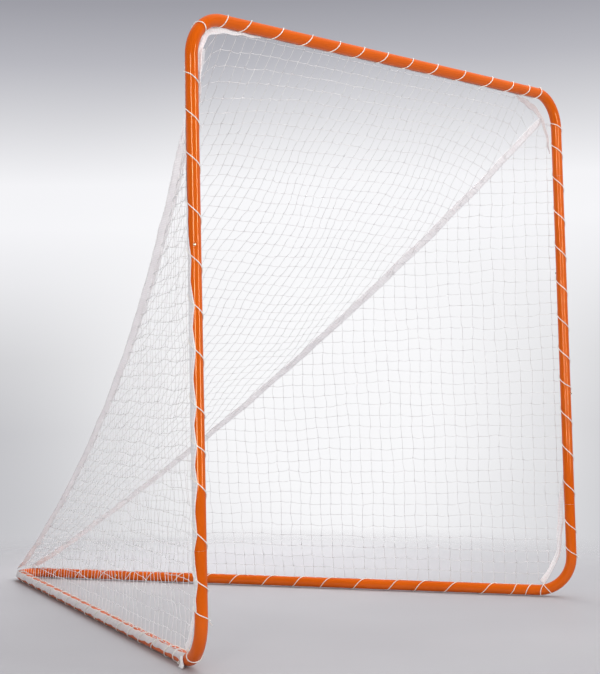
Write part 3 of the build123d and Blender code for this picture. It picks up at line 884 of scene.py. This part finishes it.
def wrap(centre, outward, upward, a0, a1, radius, cols=9):
    """Grid of points round a tube path from angle a0 to a1 in degrees."""
    t = np.linspace(0, 1, cols)[None]
    a = np.radians(a0[:, None] + (a1 - a0)[:, None] * t)
    return centre[:, None] + radius[:, :, None] * (np.cos(a)[:, :, None] * outward[:, None] + np.sin(a)[:, :, None] * upward[:, None])


def lace_pull(s, stations, width=0.022):
    """1 where a lacing turn presses the tape, falling to 0 between."""
    d = np.min(np.abs(s[:, None] - np.array(stations)[None]), axis=1)
    return np.exp(-(d / width) ** 2)


# posts
FRONT_L = [(0.165, 188), (0.21, 184), (0.253, 203), (0.30, 186), (0.34, 176), (0.385, 206), (0.45, 192), (0.528, 217),
           (0.58, 198), (0.633, 218), (0.69, 197), (0.743, 219), (0.82, 198), (0.901, 221), (0.965, 199),
           (1.028, 218), (1.09, 188), (1.161, 196), (1.23, 170), (1.302, 168), (1.37, 148), (1.449, 138), (1.6, 124), (1.73, 120)]
for side, name, stations in ((-1, "left", POST_L), (1, "right", POST_R)):
    z = np.linspace(0.175, 1.73, 330)
    n = len(z)
    centre = np.stack([np.full(n, side * HALF_W), np.full(n, MOUTH_Y), z], 1)
    X, Y = np.tile(V(1, 0, 0), (n, 1)), np.tile(V(0, 1, 0), (n, 1))
    pull = lace_pull(z, stations)
    if side < 0:
        front = np.interp(z, [p[0] for p in FRONT_L], [p[1] for p in FRONT_L])
        back = np.full(n, 93.0) + ragged(z, 5, 2.0) * 0.6
        lift_edge = 1.0
        a0, a1 = front + ragged(z, 9, 2.0), back
    else:
        front = -16.0 - 5 * pull + ragged(z, 15, 3.0)
        a0, a1 = front, 87.0 + ragged(z, 6, 1.0)
    cols = 9
    t = np.linspace(0, 1, cols)[None]
    loose = (1 - pull)[:, None] * (0.0011 * (1 - t) ** 2 + 0.0005 * t * (1 - t) * 4)
    radius = TUBE_R + 0.00065 + loose + 0.0003 * (1 + np.sin(z[:, None] * 190 + 5 * t)) * (1 - pull)[:, None] * (1 - t)
    G = wrap(centre, X, Y, a0, a1, radius, cols)
    if side > 0:
        G = G[:, ::-1]
    b = Builder()
    solid_grid(b, G, 0.0009)
    ob = b.make(name + "_post_hem_band", TAPE_MAT, [name + "_post_hem_tape"])

# crossbar: behind and below
x = np.linspace(-0.80, 0.80, 330)
n = len(x)
centre = np.stack([x, np.full(n, MOUTH_Y), np.full(n, TOP_Z)], 1)
pull = lace_pull(x, BAR_X)
F, U = np.tile(V(0, -1, 0), (n, 1)), np.tile(V(0, 0, 1), (n, 1))
low = 252.0 + ragged(x, 25, 4.0) + 5 * pull
t = np.linspace(0, 1, 9)[None]
radius = TUBE_R + 0.00065 + (1 - pull)[:, None] * (0.0004 + 0.0010 * (1 - t) ** 2)
G = wrap(centre, F, U, low, np.full(n, 172.0), radius)
b = Builder()
solid_grid(b, G[:, ::-1], 0.0009)
ob = b.make("crossbar_hem_band", TAPE_MAT, ["crossbar_hem_tape"])


def ground_frame(side, s):
    """Centre line, outward direction of a ground bar, from its bend to the apex of the nose."""
    half = math.atan2(GX, GY)
    straight = BAR_LEN - NOSE_R / math.tan(half)
    P, O = [], []
    for d in s:
        if d <= straight:
            p, o = bar_point(side, d), V(side * GY, GX, 0)
            if d < LOW_BEND_R:
                a = math.acos(1 - d / LOW_BEND_R)
                p[2] = AXIS_Z + LOW_BEND_R * (1 - math.sin(a))
        else:
            a = half + (d - straight) / NOSE_R
            cy = MOUTH_Y + V_DEPTH - NOSE_R / math.sin(half)
            p = V(side * NOSE_R * math.cos(a), cy + NOSE_R * math.sin(a), AXIS_Z)
            o = V(side * math.cos(a), math.sin(a), 0)
        P.append(p); O.append(o)
    return np.array(P), np.array(O)


APEX = BAR_LEN - NOSE_R / math.tan(math.atan2(GX, GY)) + NOSE_R * (math.pi / 2 - math.atan2(GX, GY))
for side, name in ((-1, "left"), (1, "right")):
    s = np.linspace(0.108, APEX - 0.002, 430)
    n = len(s)
    centre, O = ground_frame(side, s)
    U = np.tile(V(0, 0, 1), (n, 1))
    pull = lace_pull(s, GROUND, 0.020)
    top = 60.0 + ragged(s, 31 + side, 4.0) - 4 * pull
    low = -12.0 + 12.0 * smooth((0.75 - s) / 0.5) + ragged(s, 41 + side, 4.0) + 7 * pull
    low = low + 20 * np.exp(-((s - 0.392) / 0.018) ** 2)
    low = low - 34 * np.exp(-((s - 0.118) / 0.014) ** 2)
    t = np.linspace(0, 1, 9)[None]
    edge = np.abs(2 * t - 1) ** 3
    radius = TUBE_R + 0.00065 + (1 - pull)[:, None] * (0.0004 + 0.0016 * edge + 0.0004 * np.sin(s[:, None] * 170 + 3 * t))
    radius = radius + (0.0012 if side > 0 else 0.0) * smooth((s - 2.22) / 0.02)[:, None]
    G = wrap(centre, O, U, low, top, radius)
    if side < 0:
        G = G[:, ::-1]
    G[:, :, 2] = np.maximum(G[:, :, 2], 0.0012)
    b = Builder()
    solid_grid(b, G, 0.0009)
    # the ground hems use the tape with painted shade and a painted pink glow of the orange tube
    ob = b.make(name + "_ground_hem_band", PAINTED_SHADE_TAPE, [name + "_ground_hem_tape"])


def ribbon(b, points, width, across, ruffle, wavelength, seed, cols=9, n=140, thick=0.0010):
    """A gathered tape along a path: wavy across, crowded along."""
    r = np.random.default_rng(seed)
    data = np.concatenate([np.asarray(points, float), np.asarray(width, float)[:, None], np.asarray(across, float)], 1)
    C = curve_points(data, n)
    line, w, ac = C[:, :3], C[:, 3], unit(C[:, 4:7])
    T = unit(np.gradient(line, axis=0))
    ac = unit(ac - T * (ac * T).sum(1)[:, None])
    nrm = np.cross(T, ac)
    s = np.concatenate([[0], np.cumsum(np.linalg.norm(np.diff(line, axis=0), axis=1))])
    t = np.linspace(-0.5, 0.5, cols)
    fade = (smooth(s / 0.03) * smooth((s[-1] - s) / 0.03))[:, None]
    ph = 2 * np.pi * s[:, None] / wavelength
    wave = np.sin(7.5 * t[None] + 1.6 * np.sin(ph * 0.31 + r.random() * 6) + r.random() * 6) \
        + 0.30 * np.sin(ph + 6.0 * t[None] + 1.2 * np.sin(ph * 0.4) + r.random() * 6)
    G = line[:, None] + w[:, None, None] * t[None, :, None] * ac[:, None] \
        + (ruffle * fade * wave * (0.35 + 1.1 * np.abs(t))[None])[:, :, None] * nrm[:, None]
    G = G + (0.0016 * fade * np.sin(ph * 0.8 + r.random() * 6))[:, :, None] * ac[:, None]
    G[:, :, 2] = np.maximum(G[:, :, 2], 0.0010)
    solid_grid(b, G, thick)
    return G


Y0 = MOUTH_Y
# top left: the hem bunches inside the bend, under the crossbar and down the post
b = Builder()
G = ribbon(b, [(-0.640, Y0 + 0.008, 1.8465), (-0.740, Y0 + 0.006, 1.842), (-0.815, Y0 + 0.004, 1.837),
               (-0.866, Y0 + 0.002, 1.823), (-0.893, Y0 + 0.000, 1.790), (-0.9035, Y0 - 0.002, 1.745),
               (-0.9060, Y0 - 0.003, 1.700), (-0.9085, Y0 - 0.004, 1.610)],
           [0.004, 0.010, 0.016, 0.020, 0.018, 0.014, 0.011, 0.003],
           [(0.0, 0.25, -1), (0.0, 0.25, -1), (0.2, 0.1, -1), (0.6, -0.2, -0.8), (0.8, -0.5, -0.35), (0.72, -0.69, -0.1), (0.72, -0.69, 0), (0.72, -0.69, 0)],
           0.0026, 0.060, 61)
ob = b.make("top_left_hem_gather", TAPE_MAT)
# top right: the hem is pulled straight across inside the bend
b = Builder()
G = ribbon(b, [(0.690, Y0 + 0.010, 1.8450), (0.745, Y0 + 0.014, 1.8310), (0.810, Y0 + 0.018, 1.815), (0.856, Y0 + 0.021, 1.794),
               (0.882, Y0 + 0.021, 1.758), (0.899, Y0 + 0.019, 1.712), (0.909, Y0 + 0.016, 1.650)],
           [0.005, 0.019, 0.022, 0.016, 0.013, 0.009, 0.003],
           [(0.2, -0.3, 0.95), (0.3, -0.3, 0.9), (0.5, -0.3, 0.8), (0.65, -0.3, 0.7), (0.75, -0.4, 0.5), (0.72, -0.6, 0.3), (0.72, -0.69, 0.1)],
           0.0024, 0.055, 67)
# this gather uses the tape with painted shade and a painted pink glow of the orange tube
ob = b.make("top_right_hem_gather", PAINTED_SHADE_TAPE)


def side_spot(side, z, d, off=0.006):
    return bar_point(side, d, off, z)


# bottom corners: the hem leaves the post and slants to the ground bar
for side, name, spots, widths in (
    (1, "bottom_right_hem_gather",
     [(0.440, 0.019), (0.365, 0.031), (0.250, 0.040), (0.150, 0.054), (0.092, 0.086), (0.050, 0.112)],
     [0.004, 0.018, 0.020, 0.015, 0.016, 0.022]),
    (-1, "bottom_left_hem_gather",
     [(0.340, 0.021), (0.290, 0.026), (0.200, 0.040), (0.130, 0.060), (0.082, 0.092), (0.052, 0.118)],
     [0.005, 0.016, 0.017, 0.017, 0.020, 0.024]),
):
    d = bar_dir(side)
    b = Builder()
    G = ribbon(b, [side_spot(side, z, dd) for z, dd in spots], widths,
               [d + V(0, 0, 0.15), d + V(0, 0, 0.25), d + V(0, 0, 0.35), d + V(0, 0, 0.5), d + V(0, 0, 0.9), d + V(0, 0, 0.5)],
               0.0022, 0.080, 71 + side)
    ob = b.make(name, TAPE_MAT)

# the loose end of the left hem hangs from the bar to the floor
b = Builder()
G = []
for k in np.linspace(0, 1, 14):
    z = 0.034 * (1 - k) + 0.0022 * k
    off = 0.0215 + 0.004 * k + 0.0012 * math.sin(k * 7)
    row = []
    for t in np.linspace(-0.5, 0.5, 7):
        dd = 0.108 + t * (0.024 + 0.006 * k)
        p = bar_point(-1, dd, off + 0.0018 * math.sin(t * 9 + k * 3), z)
        row.append(p)
    G.append(row)
G = np.array(G)
solid_grid(b, G[:, ::-1], 0.0010)
ob = b.make("left_hem_loose_end", TAPE_MAT)

# ---------------------------------------------------------------- the camera
YAW, PITCH, ROLL = 0.77416, 0.07164, -0.01963
d = Vector((math.sin(YAW) * math.cos(PITCH), math.cos(YAW) * math.cos(PITCH), math.sin(PITCH)))
r = d.cross(Vector((0, 0, 1))).normalized()
u = r.cross(d)
r2 = r * math.cos(ROLL) + u * math.sin(ROLL)
u2 = -r * math.sin(ROLL) + u * math.cos(ROLL)
cam = bpy.data.cameras.new("camera")
cam.sensor_width = 36.0
cam.lens = 1435.076 * 36.0 / 674.0
cam.shift_x = (300.0 - 235.265) / 674.0
cam.shift_y = (286.424 - 337.0) / 674.0
cam_ob = bpy.data.objects.new("camera", cam)
bpy.context.scene.collection.objects.link(cam_ob)
M = Matrix(((r2.x, u2.x, -d.x), (r2.y, u2.y, -d.y), (r2.z, u2.z, -d.z))).to_4x4()
M.translation = Vector((-3.6882, MOUTH_Y - 2.97878, 0.78884))
cam_ob.matrix_world = M
cam.clip_start, cam.clip_end = 0.05, 200.0
bpy.context.scene.camera = cam_ob
bpy.context.scene.view_settings.view_transform = "Standard"
bpy.context.scene.view_settings.look = "None"

# ------------------------------------------------------------------ the floor
FR = 3.4
bpy.ops.mesh.primitive_circle_add(vertices=128, radius=FR, fill_type="NGON", location=(0, 0, 0))
floor = bpy.context.object
floor.name = "studio_floor"
m, nt, s = new_mat("studio_floor")
tc = node(nt, "ShaderNodeTexCoord")
length = node(nt, "ShaderNodeVectorMath", operation="LENGTH")
nt.links.new(tc.outputs["Object"], length.inputs[0])
fade = maprange(nt, length.outputs["Value"], 1.2, 2.9, 0.0, 1.0)
fade.interpolation_type = "SMOOTHSTEP"
grain = noise(nt, tc.outputs["Object"], 1.3, 2.0)
col = ramp(nt, grain.outputs["Fac"], [(0.3, (0.425, 0.416, 0.434)), (0.7, (0.450, 0.441, 0.459))])
nt.links.new(col.outputs["Color"], s.inputs["Base Color"])
s.inputs["Roughness"].default_value = 0.50
s.inputs["Specular IOR Level"].default_value = 0.06
tr = node(nt, "ShaderNodeBsdfTransparent")
mx = node(nt, "ShaderNodeMixShader")
nt.links.new(fade.outputs["Result"], mx.inputs["Fac"])
nt.links.new(s.outputs["BSDF"], mx.inputs[1])
nt.links.new(tr.outputs["BSDF"], mx.inputs[2])
outn = next(n for n in nt.nodes if n.type == "OUTPUT_MATERIAL")
nt.links.new(mx.outputs["Shader"], outn.inputs["Surface"])
floor.data.materials.append(m)

# ------------------------------------------------------------------ the world
world = bpy.data.worlds.new("studio")
bpy.context.scene.world = world
world.use_nodes = True
nt = world.node_tree
bg = next(n for n in nt.nodes if n.type == "BACKGROUND")
tc = node(nt, "ShaderNodeTexCoord")
nv = node(nt, "ShaderNodeVectorMath", operation="NORMALIZE")
nt.links.new(tc.outputs["Generated"], nv.inputs[0])
sep = node(nt, "ShaderNodeSeparateXYZ")
nt.links.new(nv.outputs["Vector"], sep.inputs[0])
el = math_node(nt, "ARCSINE", sep.outputs["Z"])
fac = maprange(nt, el, math.radians(-15), math.radians(30), 0.0, 1.0)


def srgb(v):
    v = v / 255.0
    return v / 12.92 if v <= 0.04045 else ((v + 0.055) / 1.055) ** 2.4


def grey(v, b=0.0):
    return (srgb(v), srgb(v), srgb(v + b))


def at_el(deg):
    return (deg + 15) / 45.0


RAMP = [(-14.9, grey(196, 4)), (-8.4, grey(197, 4)), (-6.8, grey(199, 4)), (-4.4, grey(194, 4)), (-1.6, grey(193, 4)),
        (1.2, grey(208, 3)), (4.3, grey(233, 3)), (6.5, grey(245, 3)), (8.2, grey(244, 3)), (10.6, grey(216, 4)),
        (13.0, grey(184, 7)), (15.3, grey(158, 8)), (20.0, grey(150, 6)), (29.0, grey(190, 2))]
cr = ramp(nt, fac.outputs["Result"], [(at_el(e), c) for e, c in RAMP])
dot = node(nt, "ShaderNodeVectorMath", operation="DOT_PRODUCT")
nt.links.new(nv.outputs["Vector"], dot.inputs[0])
az = math.radians(48.0)
dot.inputs[1].default_value = (math.sin(az), math.cos(az), -0.01)
ang = math_node(nt, "ARCCOSINE", math_node(nt, "MINIMUM", dot.outputs["Value"], 0.99999))
blob = maprange(nt, ang, math.radians(3.0), math.radians(15.0), 1.0, 0.0)
blob.interpolation_type = "SMOOTHSTEP"
mix = node(nt, "ShaderNodeMix", data_type="RGBA")
nt.links.new(math_node(nt, "MULTIPLY", blob.outputs["Result"], 0.92), mix.inputs["Factor"])
nt.links.new(cr.outputs["Color"], mix.inputs["A"])
mix.inputs["B"].default_value = (0.98, 0.98, 0.995, 1)
nt.links.new(mix.outputs["Result"], bg.inputs["Color"])
# the studio behind the camera is dim, so reflections are darker than the backdrop
lp = node(nt, "ShaderNodeLightPath")
fr = node(nt, "ShaderNodeVectorMath", operation="DOT_PRODUCT")
nt.links.new(nv.outputs["Vector"], fr.inputs[0])
fr.inputs[1].default_value = (-0.72, -0.69, 0.0)
side = maprange(nt, fr.outputs["Value"], -0.35, 0.25, 0.0, 1.0)
dim = math_node(nt, "MULTIPLY", side.outputs["Result"], lp.outputs["Is Glossy Ray"])
st = maprange(nt, dim, 0.0, 1.0, 1.0, 0.22)
nt.links.new(st.outputs["Result"], bg.inputs["Strength"])


# ----------------------------------------------------------------- the lights
def area(name, loc, target, sx, sy, watts, colour=(1, 1, 1)):
    L = bpy.data.lights.new(name, "AREA")
    L.shape = "RECTANGLE"
    L.size, L.size_y = sx, sy
    L.energy = watts
    L.color = colour
    ob = bpy.data.objects.new(name, L)
    bpy.context.scene.collection.objects.link(ob)
    ob.location = loc
    ob.rotation_euler = (Vector(target) - Vector(loc)).to_track_quat("-Z", "Y").to_euler()
    ob.visible_camera = False
    return ob


def from_post(az_deg, dist, z):
    a = math.radians(az_deg)
    return (-HALF_W + dist * math.cos(a), MOUTH_Y + dist * math.sin(a), z)


# two tall strips in front, and a large soft one overhead
for name, az_deg, dist, z, w, h, soft, line in (("strip_near", 211.5, 4.9, 1.55, 0.75, 2.7, 70, 210), ("strip_far", 289.0, 4.0, 1.60, 0.60, 2.7, 48, 150)):
    aim, warm = (-HALF_W, MOUTH_Y, 1.30), (1.0, 0.985, 0.95)
    area(name, from_post(az_deg, dist, z), aim, w, h, soft, warm).visible_glossy = False
    area(name + "_line", from_post(az_deg, dist - 0.3, z), aim, w, h, line, (1.0, 0.82, 0.50)).visible_diffuse = False
area("overhead", (1.0, -0.9, 4.2), (0.4, -0.3, 0), 4.2, 4.2, 135).visible_glossy = False
fill = area("front_fill", (-4.6, -4.2, 2.6), (-0.2, 0, 0.8), 2.6, 2.6, 45)
fill.visible_glossy = False
back = area("back_fill", (2.9, 3.4, 2.6), (0.0, 0.2, 0.7), 2.4, 2.4, 70)
back.visible_glossy = False
spot = bpy.data.lights.new("floor_pool", "SPOT")
spot.energy = 260
spot.spot_size = math.radians(48)
spot.spot_blend = 1.0
spot.shadow_soft_size = 0.5
sp = bpy.data.objects.new("floor_pool", spot)
bpy.context.scene.collection.objects.link(sp)
sp.location = (1.9, 1.4, 3.0)
sp.rotation_euler = (Vector((1.05, 0.75, 0)) - Vector(sp.location)).to_track_quat("-Z", "Y").to_euler()
sp.visible_glossy = False
